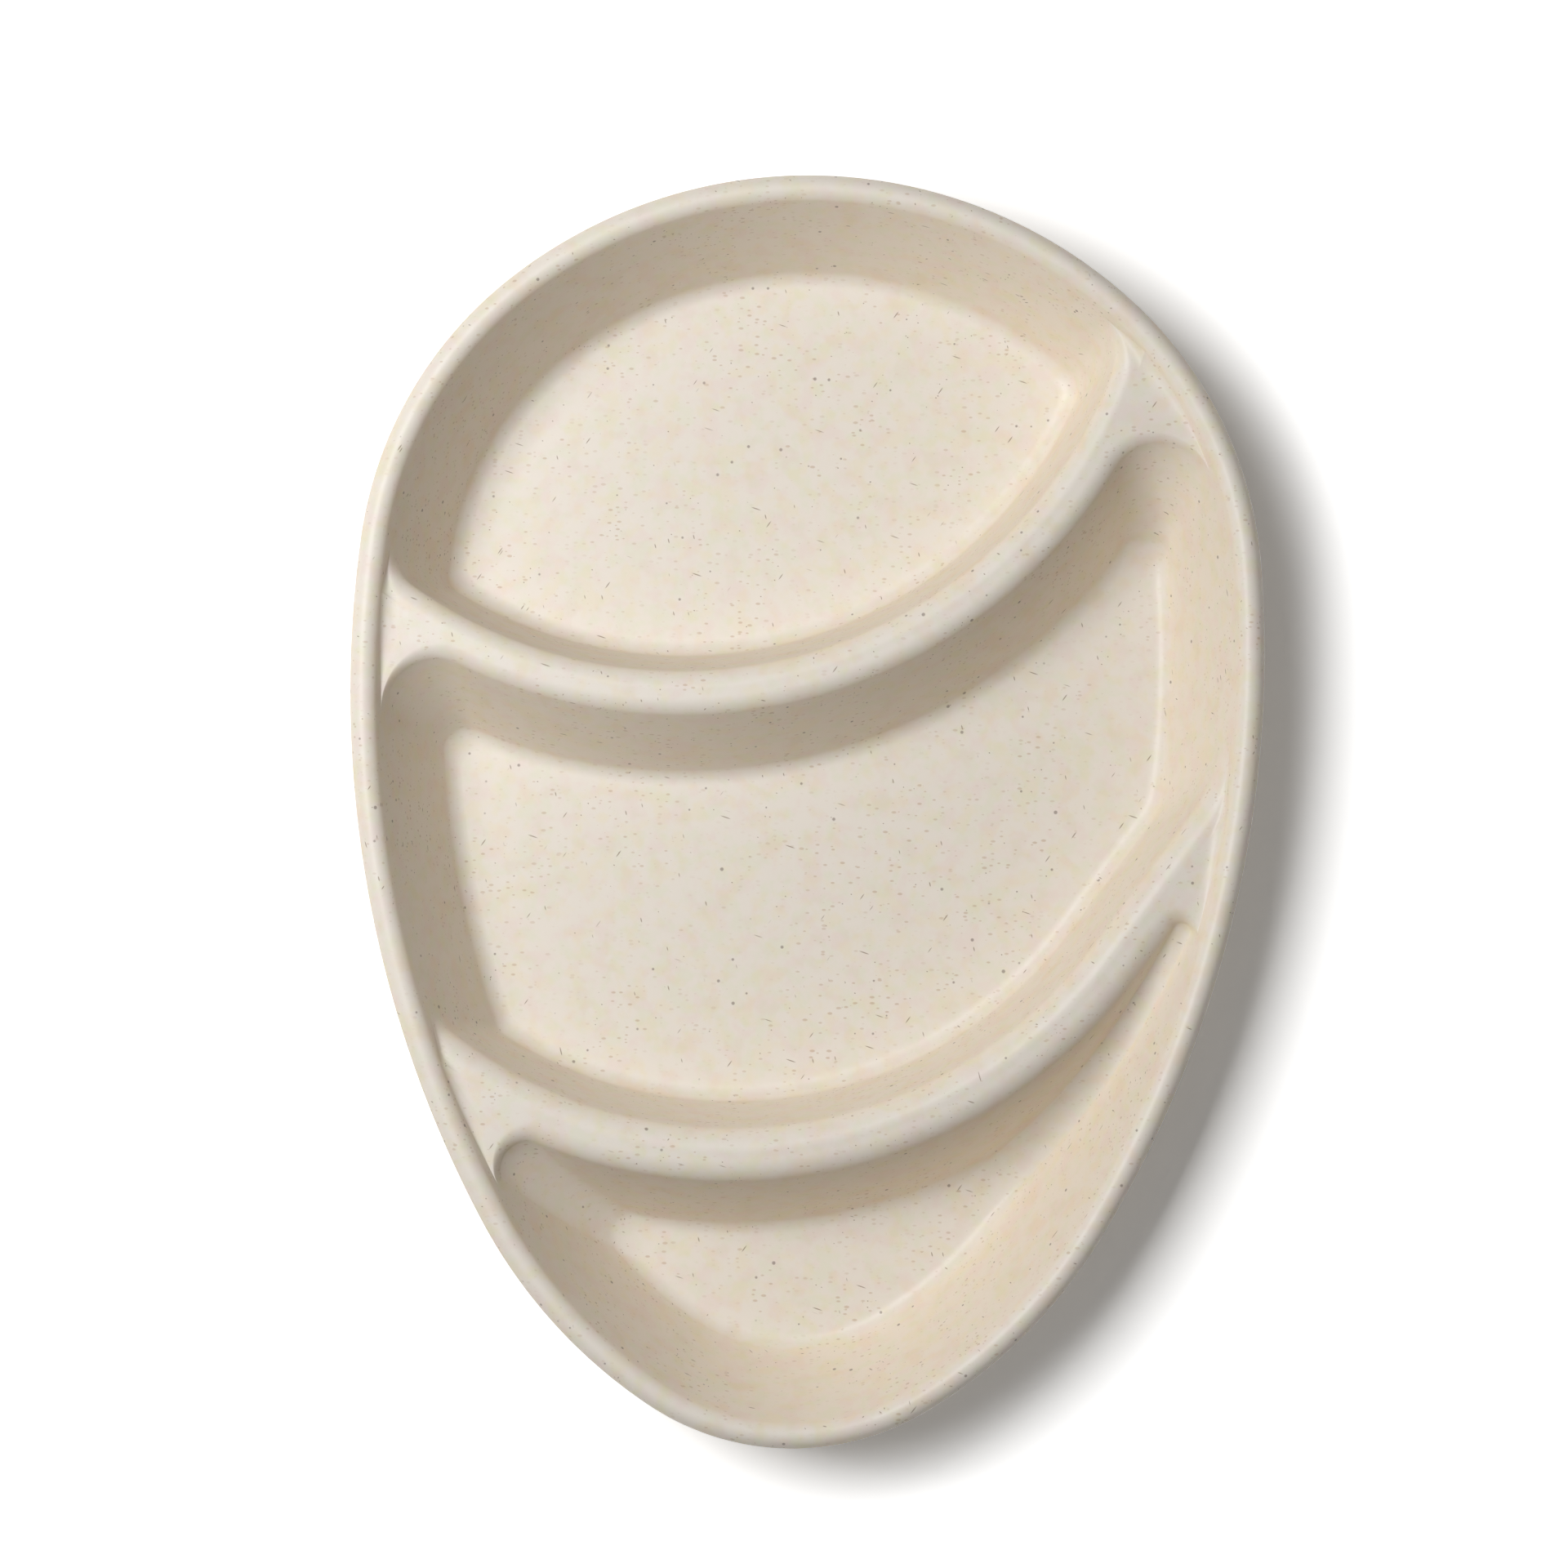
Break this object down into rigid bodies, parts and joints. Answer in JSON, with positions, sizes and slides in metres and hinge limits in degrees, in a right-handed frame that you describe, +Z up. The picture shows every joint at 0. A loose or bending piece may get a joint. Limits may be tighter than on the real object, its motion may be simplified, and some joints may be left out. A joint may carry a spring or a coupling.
{
  "type": "relish tray",
  "caption": "Egg-shaped moulded serving tray with a rounded rim and curved hollow ridges that part it into pockets for relishes and dips.",
  "frame": {"origin": "on the table under the middle of the tray's outline", "axes": "+Z up, +Y towards the blunt end of the egg, +X to the right when the tray is seen from above with its blunt end away"},
  "size_m": [0.2008, 0.28, 0.038],
  "materials": {
    "moulding": "satin cream moulding filled with plant fibre, with fine orange-brown specks and short dark fibres"
  },
  "bodies": {
    "root": {"rim": "moulding", "outer_wall": "moulding", "upper_floor": "moulding", "middle_floor": "moulding", "lower_floor": "moulding", "upper_divider": "moulding", "lower_divider": "moulding", "foot_ring": "moulding"}
  },
  "joints": []
}
